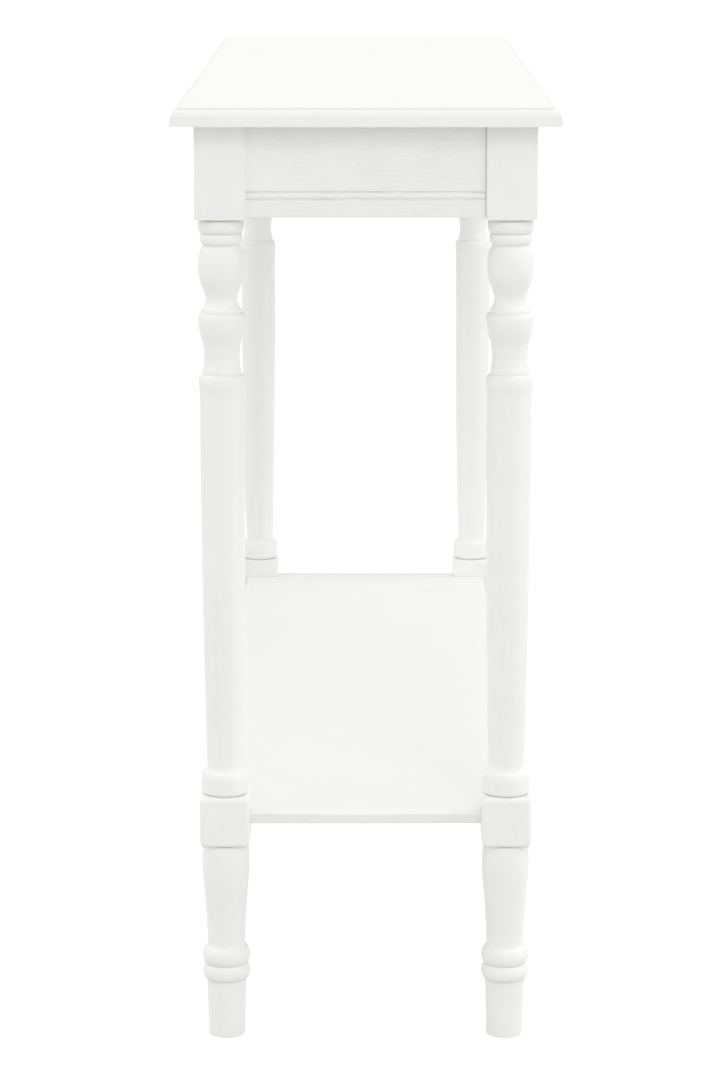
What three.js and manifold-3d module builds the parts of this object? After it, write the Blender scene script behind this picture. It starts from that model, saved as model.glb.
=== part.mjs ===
// Console table with a moulded top, a shallow apron, four turned legs in bolted sections and a low shelf.
// Millimetres, +Z up, length along X, depth along Y. The origin is on the floor under the middle of the table.

import * as THREE from 'three';
import { mergeVertices } from 'three/addons/utils/BufferGeometryUtils.js';
import Module from 'manifold-3d';

// Whole table
const HEIGHT = 800;
const LENGTH = 1080;
const DEPTH = 320;
const FIT_GAP = 0.3;

// Top: a square lip, a small quirk, an ovolo and a raised field
const TOP_THICKNESS = 15;
const TOP_OVERHANG = 19;
const TOP_LIP = 5.2;
const TOP_QUIRK = 1;
const TOP_FIELD_INSET = 7.4;
const TOP_FIELD_STEP = 1.1;

// Legs, from the top down: post, column, shelf block, foot
const LEG_WIDTH = 42;
const POST_HEIGHT = 78;
const POST_EASE = 0.8;
const BLOCK_HEIGHT = 44.4;
const BLOCK_ROUNDING = 3.6;
const FOOT_HEIGHT = 171;
const NECK_GAP = 1;
const NECK_RADIUS = 16.5;
const LEG_SEGMENTS = 14;
const CURVE_STEPS = 3;

// Aprons: set back from the posts, with a beaded line near the lower edge
const APRON_THICKNESS = 15;
const APRON_SETBACK = 2.7;
const APRON_LIFT = 2.2;
const GROOVE_HEIGHT = 14.7;
const GROOVE_SPACING = 6.2;
const GROOVE_WIDTH = 1.4;
const GROOVE_DEPTH = 1.3;

// Shelf: let into the blocks, and notched round the leg studs
const SHELF_THICKNESS = 9;
const SHELF_TOP = 196.8;
const SHELF_END_INSET = 20;
const SHELF_SIDE_INSET = 7.4;
const SHELF_NOTCH_RADIUS = 5;
const SHELF_REBATE = 1;

// Corner blocks behind the aprons
const CORNER_BLOCK_THICKNESS = 20;
const CORNER_BLOCK_HEIGHT = 50;
const CORNER_BLOCK_STANDOFF = 3;

// Hardware
const STUD_RADIUS = 4;
const UPPER_STUD_IN_POST = 32;
const UPPER_STUD_IN_COLUMN = 30;
const LOWER_STUD_IN_COLUMN = 38;
const LOWER_STUD_IN_FOOT = 44;
const HANGER_RADIUS = 3;
const HANGER_IN_POST = 29;
const HANGER_PAST_BLOCK = 13;
const HANGER_DROP = 35;
const WASHER_RADIUS = 8;
const WASHER_THICKNESS = 1.6;
const NUT_ACROSS_FLATS = 10;
const NUT_THICKNESS = 5;
const SCREW_RADIUS = 2;
const SCREW_HEAD_RADIUS = 3.8;
const SCREW_HEAD_HEIGHT = 2.6;
const SCREW_DRIVE_RADIUS = 1.6;
const APRON_SCREW_LENGTH = 27;
const APRON_SCREW_OFFSET = 60;
const APRON_SCREW_DROP = 24;
const TOP_SCREW_LENGTH = 46;
const TOP_SCREW_IN_TOP = 9.5;
const TOP_SCREW_OFFSET = 18;
const BORE_CLEARANCE = 0.3;
const BORE_SEGMENTS = 10;
const HARDWARE_SEGMENTS = 8;
const RING_STEPS = 6;

// Levels and lines that follow from the sizes above
const halfLeg = LEG_WIDTH / 2;
const legX = LENGTH / 2 - TOP_OVERHANG - halfLeg;
const legY = DEPTH / 2 - TOP_OVERHANG - halfLeg;
const topUnderside = HEIGHT - TOP_THICKNESS;
const postTop = topUnderside - FIT_GAP;
const postBottom = topUnderside - POST_HEIGHT;
const columnTop = postBottom - FIT_GAP;
const blockBottom = FOOT_HEIGHT + FIT_GAP;
const blockTop = blockBottom + BLOCK_HEIGHT;
const columnBottom = blockTop + FIT_GAP;
const shelfBottom = SHELF_TOP - SHELF_THICKNESS;
const tongueTop = SHELF_TOP - SHELF_REBATE;
const studBore = STUD_RADIUS + BORE_CLEARANCE;
const hangerLevel = postTop - HANGER_DROP;
const apronInnerLine = halfLeg - APRON_SETBACK - APRON_THICKNESS;

// The four corners. A corner's pieces are drawn for the +X +Y corner, round the leg's own axis,
// and turned into place in quarter turns.
const corners = [
  { name: 'back_right', signX: 1, signY: 1, quarterTurns: 0 },
  { name: 'back_left', signX: -1, signY: 1, quarterTurns: 1 },
  { name: 'front_left', signX: -1, signY: -1, quarterTurns: 2 },
  { name: 'front_right', signX: 1, signY: -1, quarterTurns: 3 },
];

const wasm = await Module();
wasm.setup();

// ---- materials ----

function whitePaint() {
  return new THREE.MeshStandardMaterial({ color: 0xf2f2ee, roughness: 0.45, metalness: 0 });
}

function bareWood() {
  return new THREE.MeshStandardMaterial({ color: 0xcfae7c, roughness: 0.8, metalness: 0 });
}

function zincSteel() {
  return new THREE.MeshStandardMaterial({ color: 0xb4b8bc, roughness: 0.35, metalness: 1 });
}

// ---- solids ----

function toSolid(geometry) {
  const bare = geometry.clone();
  bare.deleteAttribute('normal');
  bare.deleteAttribute('uv');
  const merged = mergeVertices(bare);
  const corner = merged.index.array;
  const kept = [];
  for (let i = 0; i < corner.length; i += 3) {
    const [a, b, c] = [corner[i], corner[i + 1], corner[i + 2]];
    if (a !== b && b !== c && c !== a) kept.push(a, b, c);
  }
  const vertProperties = merged.attributes.position.array;
  return new wasm.Manifold(new wasm.Mesh({ numProp: 3, vertProperties, triVerts: new Uint32Array(kept) }));
}

function toGeometry(solid) {
  const mesh = solid.getMesh();
  const geometry = new THREE.BufferGeometry();
  geometry.setAttribute('position', new THREE.BufferAttribute(mesh.vertProperties, mesh.numProp));
  geometry.setIndex(new THREE.BufferAttribute(mesh.triVerts, 1));
  geometry.computeVertexNormals();
  return geometry;
}

function cutAway(geometry, cutters) {
  let solid = toSolid(geometry);
  for (const cutter of cutters) solid = solid.subtract(toSolid(cutter));
  return toGeometry(solid);
}

// A round bore from one point to another
function bore(radius, from, to) {
  const direction = new THREE.Vector3().subVectors(to, from);
  const geometry = new THREE.CylinderGeometry(radius, radius, direction.length(), BORE_SEGMENTS);
  const turn = new THREE.Quaternion().setFromUnitVectors(new THREE.Vector3(0, 1, 0), direction.normalize());
  const middle = new THREE.Vector3().addVectors(from, to).multiplyScalar(0.5);
  return geometry.applyQuaternion(turn).translate(middle.x, middle.y, middle.z);
}

// A box given by its lowest and highest corners
function boxBetween(low, high) {
  const size = new THREE.Vector3().subVectors(high, low);
  const middle = new THREE.Vector3().addVectors(low, high).multiplyScalar(0.5);
  return new THREE.BoxGeometry(size.x, size.y, size.z).translate(middle.x, middle.y, middle.z);
}

// A turned piece from its half outline, radius across and height up
function turned(outline, segments) {
  return new THREE.LatheGeometry(outline.getPoints(CURVE_STEPS), segments).rotateX(Math.PI / 2);
}

function extruded(shape, depth, curveSegments = CURVE_STEPS) {
  return new THREE.ExtrudeGeometry(shape, { depth, bevelEnabled: false, curveSegments });
}

// An outline in (Y, Z), run along X and centred on it
function runAlongX(shape, length) {
  const basis = new THREE.Matrix4().makeBasis(
    new THREE.Vector3(0, 1, 0),
    new THREE.Vector3(0, 0, 1),
    new THREE.Vector3(1, 0, 0),
  );
  return extruded(shape, length).translate(0, 0, -length / 2).applyMatrix4(basis);
}

function named(name, geometry, material) {
  const mesh = new THREE.Mesh(geometry, material);
  mesh.name = name;
  return mesh;
}

// ---- corner placement ----

function cornerMatrix(corner) {
  const matrix = new THREE.Matrix4().makeRotationZ(corner.quarterTurns * Math.PI / 2);
  return matrix.setPosition(corner.signX * legX, corner.signY * legY, 0);
}

function diagonalPoint(distance, level) {
  const along = distance * Math.SQRT1_2;
  return new THREE.Vector3(along, along, level);
}

// ---- top ----

function topSection(halfWidth) {
  const fieldEdge = halfWidth - TOP_FIELD_INSET;
  const ovoloTop = HEIGHT - TOP_FIELD_STEP;
  const ovoloFoot = halfWidth - TOP_QUIRK;
  const lipTop = topUnderside + TOP_LIP;
  const shape = new THREE.Shape();
  shape.moveTo(-halfWidth, topUnderside);
  shape.lineTo(halfWidth, topUnderside);
  shape.lineTo(halfWidth, lipTop);
  shape.lineTo(ovoloFoot, lipTop);
  shape.quadraticCurveTo(ovoloFoot, ovoloTop, fieldEdge, ovoloTop);
  shape.lineTo(fieldEdge, HEIGHT);
  shape.lineTo(-fieldEdge, HEIGHT);
  shape.lineTo(-fieldEdge, ovoloTop);
  shape.quadraticCurveTo(-ovoloFoot, ovoloTop, -ovoloFoot, lipTop);
  shape.lineTo(-halfWidth, lipTop);
  shape.closePath();
  return shape;
}

// The moulding runs round all four edges, so the panel is the overlap of a lengthwise and a crosswise run
function topPanel() {
  const lengthwise = toSolid(runAlongX(topSection(DEPTH / 2), LENGTH));
  const crosswise = toSolid(runAlongX(topSection(LENGTH / 2), DEPTH).rotateZ(Math.PI / 2));
  const pilots = corners.map((corner) => topScrewBore(SCREW_RADIUS + BORE_CLEARANCE)
    .applyMatrix4(cornerMatrix(corner)));
  return cutAway(toGeometry(lengthwise.intersect(crosswise)), pilots);
}

// ---- legs ----

// The inner corner of each post faces (-1, -1) in its own corner's drawing
function cornerPost() {
  const side = halfLeg - POST_EASE;
  const shape = new THREE.Shape();
  shape.moveTo(-side, -halfLeg);
  shape.lineTo(side, -halfLeg);
  shape.lineTo(halfLeg, -side);
  shape.lineTo(halfLeg, side);
  shape.lineTo(side, halfLeg);
  shape.lineTo(-side, halfLeg);
  shape.lineTo(-halfLeg, side);
  shape.lineTo(-halfLeg, -side);
  shape.closePath();
  const hangerDepth = halfLeg * Math.SQRT2 - HANGER_IN_POST - 1;
  return cutAway(extruded(shape, postTop - postBottom).translate(0, 0, postBottom), [
    bore(studBore, new THREE.Vector3(0, 0, postBottom - 1),
      new THREE.Vector3(0, 0, postBottom + UPPER_STUD_IN_POST + 1)),
    bore(HANGER_RADIUS + BORE_CLEARANCE, diagonalPoint(-LEG_WIDTH, hangerLevel),
      diagonalPoint(-hangerDepth, hangerLevel)),
  ]);
}

// From the bottom: ring, swelling shaft, shoulder, vase, bulb and two beads.
// The ring is measured up from the column's foot, and everything above the shaft down from its top.
function legColumn() {
  const [low, high] = [columnBottom, columnTop];
  const outline = new THREE.Path();
  outline.moveTo(0, low + LOWER_STUD_IN_COLUMN + 1);
  outline.lineTo(studBore, low + LOWER_STUD_IN_COLUMN + 1);
  outline.lineTo(studBore, low);
  outline.lineTo(NECK_RADIUS, low);
  outline.lineTo(NECK_RADIUS, low + NECK_GAP);
  outline.lineTo(19.2, low + NECK_GAP);
  outline.lineTo(20.35, low + 4);
  outline.lineTo(20.35, low + 11);
  outline.quadraticCurveTo(20.2, low + 20, 15.4, low + 21);
  outline.lineTo(15.2, low + 25);
  outline.quadraticCurveTo(18.8, low + 158, 18.95, high - 148.7);
  outline.lineTo(19.6, high - 142);
  outline.lineTo(19.6, high - 137);
  outline.quadraticCurveTo(19.4, high - 130, 16.1, high - 129.3);
  outline.lineTo(15.9, high - 125.8);
  outline.quadraticCurveTo(14.3, high - 120, 15.3, high - 111);
  outline.bezierCurveTo(15.8, high - 100, 19.4, high - 96, 19.9, high - 84.2);
  outline.quadraticCurveTo(19.7, high - 78.8, 16.7, high - 78.2);
  outline.lineTo(16.3, high - 74.8);
  outline.quadraticCurveTo(13.4, high - 72, 13.4, high - 67);
  outline.bezierCurveTo(13.8, high - 57.7, 19.3, high - 55.7, 19.35, high - 39.7);
  outline.bezierCurveTo(19.2, high - 27.7, 16.2, high - 27.7, 15.4, high - 22);
  outline.quadraticCurveTo(20.4, high - 17, 17.2, high - 12);
  outline.quadraticCurveTo(21.2, high - 7, 17.4, high - NECK_GAP);
  outline.lineTo(NECK_RADIUS, high - NECK_GAP);
  outline.lineTo(NECK_RADIUS, high);
  outline.lineTo(studBore, high);
  outline.lineTo(studBore, high - UPPER_STUD_IN_COLUMN - 1);
  outline.lineTo(0, high - UPPER_STUD_IN_COLUMN - 1);
  return turned(outline, LEG_SEGMENTS);
}

// The block is let out for the shelf's tongue on its two inner sides, and bored through for the stud
function shelfBlock(corner) {
  const inner = halfLeg - BLOCK_ROUNDING;
  const shape = new THREE.Shape();
  shape.moveTo(-inner, -inner);
  shape.lineTo(inner, -inner);
  shape.lineTo(inner, inner);
  shape.lineTo(-inner, inner);
  shape.closePath();
  const body = new THREE.ExtrudeGeometry(shape, {
    depth: BLOCK_HEIGHT - 2 * BLOCK_ROUNDING,
    bevelThickness: BLOCK_ROUNDING,
    bevelSize: BLOCK_ROUNDING,
    bevelSegments: 4,
  }).translate(0, 0, blockBottom + BLOCK_ROUNDING);
  const endReach = halfLeg - SHELF_END_INSET + FIT_GAP;
  const sideReach = halfLeg - SHELF_SIDE_INSET + FIT_GAP;
  const [reachX, reachY] = corner.signX * corner.signY > 0
    ? [endReach, sideReach]
    : [sideReach, endReach];
  const housing = boxBetween(
    new THREE.Vector3(-LEG_WIDTH, -LEG_WIDTH, shelfBottom - FIT_GAP),
    new THREE.Vector3(reachX, reachY, tongueTop + FIT_GAP),
  );
  return cutAway(body, [
    housing,
    bore(studBore, new THREE.Vector3(0, 0, blockBottom - 1), new THREE.Vector3(0, 0, blockTop + 1)),
  ]);
}

// From the floor: tapered peg, two rings and a vase under the block
function foot() {
  const high = FOOT_HEIGHT;
  const outline = new THREE.Path();
  outline.moveTo(0, 0);
  outline.lineTo(15.2, 0);
  outline.lineTo(15.6, 1);
  outline.lineTo(16.5, 41);
  outline.quadraticCurveTo(16.6, 49, 17.6, 51);
  outline.quadraticCurveTo(23, 58, 17.9, 65.2);
  outline.quadraticCurveTo(22.6, 72.2, 17.4, 79.2);
  outline.lineTo(16.2, 81);
  outline.bezierCurveTo(16.2, 106, 17.6, 114, 18.2, 126);
  outline.bezierCurveTo(19, 136, 20.2, 142, 20.2, 153);
  outline.quadraticCurveTo(20.2, 163, 18.4, high - NECK_GAP);
  outline.lineTo(NECK_RADIUS, high - NECK_GAP);
  outline.lineTo(NECK_RADIUS, high);
  outline.lineTo(studBore, high);
  outline.lineTo(studBore, high - LOWER_STUD_IN_FOOT - 1);
  outline.lineTo(0, high - LOWER_STUD_IN_FOOT - 1);
  return turned(outline, LEG_SEGMENTS);
}

// ---- aprons and shelf ----

// Section of an apron in (out, up), with its outer face at out = 0
function apronSection() {
  const bottom = postBottom + APRON_LIFT;
  const shape = new THREE.Shape();
  shape.moveTo(0, postTop);
  shape.lineTo(-APRON_THICKNESS, postTop);
  shape.lineTo(-APRON_THICKNESS, bottom);
  shape.lineTo(0, bottom);
  for (const level of [bottom + GROOVE_HEIGHT, bottom + GROOVE_HEIGHT + GROOVE_SPACING]) {
    shape.lineTo(0, level - GROOVE_WIDTH / 2);
    shape.lineTo(-GROOVE_DEPTH, level);
    shape.lineTo(0, level + GROOVE_WIDTH / 2);
  }
  shape.closePath();
  return shape;
}

// side is +1 on the +Y apron and -1 on the -Y apron
function longApron(side) {
  const outerLine = legY + halfLeg - APRON_SETBACK;
  const run = runAlongX(apronSection(), 2 * (legX - halfLeg - FIT_GAP)).translate(0, outerLine, 0);
  if (side < 0) run.rotateZ(Math.PI);
  return cutAway(run, apronPilots());
}

// side is +1 on the +X apron and -1 on the -X apron
function endApron(side) {
  const outerLine = legX + halfLeg - APRON_SETBACK;
  const run = runAlongX(apronSection(), 2 * (legY - halfLeg - FIT_GAP)).translate(0, outerLine, 0);
  return cutAway(run.rotateZ(-side * Math.PI / 2), apronPilots());
}

function apronPilots() {
  const pilots = [];
  for (const corner of corners) {
    for (const mirrored of [false, true]) {
      pilots.push(apronScrewBore(mirrored).applyMatrix4(cornerMatrix(corner)));
    }
  }
  return pilots;
}

// Each corner is thinned to a tongue where it enters its leg, and notched round the stud
function shelf() {
  const halfLength = legX + halfLeg - SHELF_END_INSET;
  const halfDepth = legY + halfLeg - SHELF_SIDE_INSET;
  const board = boxBetween(
    new THREE.Vector3(-halfLength, -halfDepth, shelfBottom),
    new THREE.Vector3(halfLength, halfDepth, SHELF_TOP),
  );
  const notch = bore(
    SHELF_NOTCH_RADIUS,
    new THREE.Vector3(0, 0, shelfBottom - 1),
    new THREE.Vector3(0, 0, SHELF_TOP + 1),
  );
  const rebateReach = halfLeg + FIT_GAP;
  const rebate = boxBetween(
    new THREE.Vector3(-rebateReach, -rebateReach, tongueTop),
    new THREE.Vector3(rebateReach, rebateReach, SHELF_TOP + 1),
  );
  const cutters = corners.flatMap((corner) => [notch, rebate].map((cutter) => cutter
    .clone()
    .translate(corner.signX * legX, corner.signY * legY, 0)));
  return cutAway(board, cutters);
}

// ---- corner blocks ----

// Plan of the block: a thick slice across the corner, square to its diagonal
const cornerBlockOuter = -(halfLeg * Math.SQRT2 + CORNER_BLOCK_STANDOFF);
const cornerBlockInner = cornerBlockOuter - CORNER_BLOCK_THICKNESS;
const cornerBlockLow = postTop - CORNER_BLOCK_HEIGHT;

function cornerBlock() {
  const reach = apronInnerLine - FIT_GAP;
  const outerSum = cornerBlockOuter * Math.SQRT2;
  const innerSum = cornerBlockInner * Math.SQRT2;
  const shape = new THREE.Shape();
  shape.moveTo(outerSum - reach, reach);
  shape.lineTo(innerSum - reach, reach);
  shape.lineTo(reach, innerSum - reach);
  shape.lineTo(reach, outerSum - reach);
  shape.closePath();
  return cutAway(extruded(shape, CORNER_BLOCK_HEIGHT).translate(0, 0, cornerBlockLow), [
    bore(HANGER_RADIUS + BORE_CLEARANCE, diagonalPoint(cornerBlockOuter + 2, hangerLevel),
      diagonalPoint(cornerBlockInner - 2, hangerLevel)),
    apronScrewBore(false),
    apronScrewBore(true),
    apronScrewHeadBore(false),
    apronScrewHeadBore(true),
    topScrewBore(SCREW_RADIUS + BORE_CLEARANCE),
    topScrewHeadBore(),
  ]);
}

// ---- where the screws go, in a corner's own drawing ----

function swapSides(point) {
  return new THREE.Vector3(point.y, point.x, point.z);
}

// Screws through the corner block into each apron. The mirrored one goes into the end apron.
function apronScrewEnds(mirrored) {
  const level = postTop - APRON_SCREW_DROP;
  const tip = new THREE.Vector3(-APRON_SCREW_OFFSET, apronInnerLine + APRON_THICKNESS - 3, level);
  const head = new THREE.Vector3(-APRON_SCREW_OFFSET, tip.y - APRON_SCREW_LENGTH, level);
  return mirrored ? [swapSides(tip), swapSides(head)] : [tip, head];
}

function beyond(from, to, extra) {
  const direction = new THREE.Vector3().subVectors(to, from).normalize();
  return to.clone().addScaledVector(direction, extra);
}

function apronScrewBore(mirrored) {
  const [tip, head] = apronScrewEnds(mirrored);
  return bore(SCREW_RADIUS + BORE_CLEARANCE, beyond(head, tip, 1), head);
}

function apronScrewHeadBore(mirrored) {
  const [tip, head] = apronScrewEnds(mirrored);
  const seat = beyond(tip, head, -SCREW_HEAD_HEIGHT - BORE_CLEARANCE);
  return bore(SCREW_HEAD_RADIUS + BORE_CLEARANCE, seat, beyond(tip, head, LEG_WIDTH));
}

// One screw up through each corner block into the top
function topScrewEnds() {
  const middle = (cornerBlockOuter + cornerBlockInner) / 2 * Math.SQRT1_2;
  const aside = TOP_SCREW_OFFSET * Math.SQRT1_2;
  const tip = new THREE.Vector3(middle + aside, middle - aside, topUnderside + TOP_SCREW_IN_TOP);
  const head = new THREE.Vector3(tip.x, tip.y, tip.z - TOP_SCREW_LENGTH);
  return [tip, head];
}

function topScrewBore(radius) {
  const [tip, head] = topScrewEnds();
  return bore(radius, beyond(head, tip, 1), head);
}

function topScrewHeadBore() {
  const [tip, head] = topScrewEnds();
  const seat = beyond(tip, head, -SCREW_HEAD_HEIGHT - BORE_CLEARANCE);
  return bore(SCREW_HEAD_RADIUS + BORE_CLEARANCE, seat, beyond(tip, head, LEG_WIDTH));
}

// ---- hardware ----

// A piece drawn standing on its tip, laid between two points
function laidBetween(geometry, tip, head) {
  const direction = new THREE.Vector3().subVectors(head, tip).normalize();
  const turn = new THREE.Quaternion().setFromUnitVectors(new THREE.Vector3(0, 0, 1), direction);
  return geometry.applyQuaternion(turn).translate(tip.x, tip.y, tip.z);
}

function countersunkScrew([tip, head]) {
  const length = tip.distanceTo(head);
  const outline = new THREE.Path();
  outline.moveTo(0, 0);
  outline.lineTo(SCREW_RADIUS, 3 * SCREW_RADIUS);
  outline.lineTo(SCREW_RADIUS, length - SCREW_HEAD_HEIGHT);
  outline.lineTo(SCREW_HEAD_RADIUS, length - 0.4);
  outline.lineTo(SCREW_HEAD_RADIUS, length);
  outline.lineTo(SCREW_DRIVE_RADIUS, length);
  outline.lineTo(0, length - SCREW_DRIVE_RADIUS);
  return laidBetween(turned(outline, HARDWARE_SEGMENTS), tip, head);
}

// A stud with a pointed wood thread at each end
function doubleStud(bottom, top) {
  const point = 2 * STUD_RADIUS;
  const outline = new THREE.Path();
  outline.moveTo(0, bottom);
  outline.lineTo(STUD_RADIUS, bottom + point);
  outline.lineTo(STUD_RADIUS, top - point);
  outline.lineTo(0, top);
  return turned(outline, HARDWARE_SEGMENTS);
}

// Wood thread in the post, machine thread through the corner block
function hangerBolt() {
  const tip = diagonalPoint(-(halfLeg * Math.SQRT2 - HANGER_IN_POST), hangerLevel);
  const end = diagonalPoint(cornerBlockInner - HANGER_PAST_BLOCK, hangerLevel);
  const length = tip.distanceTo(end);
  const machineRadius = HANGER_RADIUS - 0.1;
  const outline = new THREE.Path();
  outline.moveTo(0, 0);
  outline.lineTo(HANGER_RADIUS, 2 * HANGER_RADIUS);
  outline.lineTo(HANGER_RADIUS, HANGER_IN_POST);
  outline.lineTo(machineRadius, HANGER_IN_POST + 1);
  outline.lineTo(machineRadius, length - 1);
  outline.lineTo(machineRadius - 1, length);
  outline.lineTo(0, length);
  return laidBetween(turned(outline, HARDWARE_SEGMENTS), tip, end);
}

function ringPlate(shape, thickness, distance) {
  const hole = new THREE.Path();
  hole.absarc(0, 0, HANGER_RADIUS + BORE_CLEARANCE, 0, 2 * Math.PI, true);
  shape.holes.push(hole);
  const seat = diagonalPoint(distance, hangerLevel);
  const outward = diagonalPoint(distance - thickness, hangerLevel);
  return laidBetween(extruded(shape, thickness, RING_STEPS), seat, outward);
}

function washer() {
  const shape = new THREE.Shape();
  shape.absarc(0, 0, WASHER_RADIUS, 0, 2 * Math.PI, false);
  return ringPlate(shape, WASHER_THICKNESS, cornerBlockInner - FIT_GAP);
}

function hexNut() {
  const cornerRadius = NUT_ACROSS_FLATS / Math.sqrt(3);
  const sides = 6;
  const shape = new THREE.Shape();
  for (let i = 0; i < sides; i += 1) {
    const angle = i * 2 * Math.PI / sides;
    const [x, y] = [cornerRadius * Math.cos(angle), cornerRadius * Math.sin(angle)];
    if (i === 0) shape.moveTo(x, y);
    else shape.lineTo(x, y);
  }
  shape.closePath();
  return ringPlate(shape, NUT_THICKNESS, cornerBlockInner - WASHER_THICKNESS - 2 * FIT_GAP);
}

// ---- assembly ----

function legAt(corner) {
  const group = new THREE.Group();
  group.applyMatrix4(cornerMatrix(corner));
  const tag = corner.name;
  group.add(
    named(`post_${tag}`, cornerPost(), whitePaint()),
    named(`column_${tag}`, legColumn(), whitePaint()),
    named(`shelf_block_${tag}`, shelfBlock(corner), whitePaint()),
    named(`foot_${tag}`, foot(), whitePaint()),
    named(`upper_stud_${tag}`,
      doubleStud(columnTop - UPPER_STUD_IN_COLUMN, postBottom + UPPER_STUD_IN_POST), zincSteel()),
    named(`lower_stud_${tag}`,
      doubleStud(FOOT_HEIGHT - LOWER_STUD_IN_FOOT, columnBottom + LOWER_STUD_IN_COLUMN), zincSteel()),
  );
  return group;
}

function cornerJointAt(corner) {
  const group = new THREE.Group();
  group.applyMatrix4(cornerMatrix(corner));
  const tag = corner.name;
  group.add(
    named(`corner_block_${tag}`, cornerBlock(), bareWood()),
    named(`hanger_bolt_${tag}`, hangerBolt(), zincSteel()),
    named(`washer_${tag}`, washer(), zincSteel()),
    named(`hex_nut_${tag}`, hexNut(), zincSteel()),
    named(`apron_screw_a_${tag}`, countersunkScrew(apronScrewEnds(false)), zincSteel()),
    named(`apron_screw_b_${tag}`, countersunkScrew(apronScrewEnds(true)), zincSteel()),
    named(`top_screw_${tag}`, countersunkScrew(topScrewEnds()), zincSteel()),
  );
  return group;
}

function consoleTable() {
  const table = new THREE.Group();
  table.add(
    named('top_panel', topPanel(), whitePaint()),
    named('long_apron_front', longApron(-1), whitePaint()),
    named('long_apron_back', longApron(1), whitePaint()),
    named('end_apron_left', endApron(-1), whitePaint()),
    named('end_apron_right', endApron(1), whitePaint()),
    named('shelf', shelf(), whitePaint()),
  );
  for (const corner of corners) table.add(legAt(corner), cornerJointAt(corner));
  return table;
}

export default consoleTable();
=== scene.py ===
import math

import bmesh
import bpy
from mathutils import Matrix, Vector


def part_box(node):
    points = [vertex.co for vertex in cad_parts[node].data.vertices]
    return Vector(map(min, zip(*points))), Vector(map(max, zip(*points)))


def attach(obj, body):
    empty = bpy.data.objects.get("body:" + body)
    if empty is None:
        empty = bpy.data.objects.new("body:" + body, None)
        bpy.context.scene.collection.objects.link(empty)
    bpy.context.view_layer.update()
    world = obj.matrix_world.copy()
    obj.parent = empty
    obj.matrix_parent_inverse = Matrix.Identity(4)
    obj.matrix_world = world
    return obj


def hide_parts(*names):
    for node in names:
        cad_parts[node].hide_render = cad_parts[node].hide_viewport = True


# White console table: turned legs in sections, moulded top, beaded aprons, low shelf.
# x runs along the table, y across it, z up. Places are in metres, the shape dictionaries in millimetres.

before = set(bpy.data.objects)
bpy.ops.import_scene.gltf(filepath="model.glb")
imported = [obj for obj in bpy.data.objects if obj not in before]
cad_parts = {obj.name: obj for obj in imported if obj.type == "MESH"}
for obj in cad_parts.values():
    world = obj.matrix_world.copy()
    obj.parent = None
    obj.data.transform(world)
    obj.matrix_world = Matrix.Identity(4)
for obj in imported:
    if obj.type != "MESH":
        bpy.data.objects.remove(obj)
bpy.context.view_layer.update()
mm = 0.001

cornerNames = ["back_right", "back_left", "front_left", "front_right"]    # quarter turns, anticlockwise


def nodeMiddle(node):
    low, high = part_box(node)
    return (low + high) / 2


def cornerMatrix(corner):
    # the joints are drawn round the leg at +x +y, then turned to their own corner
    middle = nodeMiddle("post_" + corner)
    turn = Matrix.Rotation(cornerNames.index(corner) * math.pi / 2, 4, "Z")
    return Matrix.Translation((middle.x, middle.y, 0)) @ turn


def boxMesh(low, high):
    bm = bmesh.new()
    bmesh.ops.create_cube(bm, size=1)
    size = high - low
    bmesh.ops.scale(bm, vec=size, verts=bm.verts)
    bmesh.ops.translate(bm, vec=(low + high) / 2, verts=bm.verts)
    return bm


def cutWith(bm, cutters):
    # takes the cutters out of bm with a Boolean, and gives back the result
    def asObject(source):
        mesh = bpy.data.meshes.new("cutting")
        source.to_mesh(mesh)
        source.free()
        thing = bpy.data.objects.new("cutting", mesh)
        bpy.context.scene.collection.objects.link(thing)
        return thing
    body = asObject(bm)
    tools = [asObject(c) for c in cutters]
    for tool in tools:
        cut = body.modifiers.new("cut", "BOOLEAN")
        cut.operation = "DIFFERENCE"
        cut.solver = "EXACT"
        cut.object = tool
    done = bpy.data.meshes.new_from_object(body.evaluated_get(bpy.context.evaluated_depsgraph_get()))
    result = bmesh.new()
    result.from_mesh(done)
    bpy.data.meshes.remove(done)
    for thing in [body] + tools:
        mesh = thing.data
        bpy.data.objects.remove(thing)
        bpy.data.meshes.remove(mesh)
    return result


def drill(radius, low, high, x, y):
    bm = bmesh.new()
    bmesh.ops.create_cone(bm, cap_ends=True, segments=32, radius1=radius, radius2=radius,
                          depth=high - low)
    bmesh.ops.translate(bm, vec=(x, y, (low + high) / 2), verts=bm.verts)
    return bm


def spun(points, steps=28):
    # spins a half outline of (radius, height) round the z axis
    bm = bmesh.new()
    verts = [bm.verts.new((r * mm, 0, z * mm)) for r, z in points]
    edges = [bm.edges.new(pair) for pair in zip(verts, verts[1:])]
    bmesh.ops.spin(bm, geom=verts + edges, cent=(0, 0, 0), axis=(0, 0, 1), dvec=(0, 0, 0),
                   angle=math.tau, steps=steps, use_merge=True, use_duplicate=False)
    bmesh.ops.remove_doubles(bm, verts=bm.verts, dist=0.000002)
    return bm


def roundEdges(bm, edges, width, segments):
    bmesh.ops.bevel(bm, geom=edges, offset=width, offset_type="OFFSET", segments=segments,
                    profile=0.5, affect="EDGES", clamp_overlap=True, material=-1)


def edgesAlong(bm, axis):
    found = []
    for e in bm.edges:
        d = (e.verts[1].co - e.verts[0].co).normalized()
        if abs(d[axis]) > 0.999:
            found.append(e)
    return found


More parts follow.
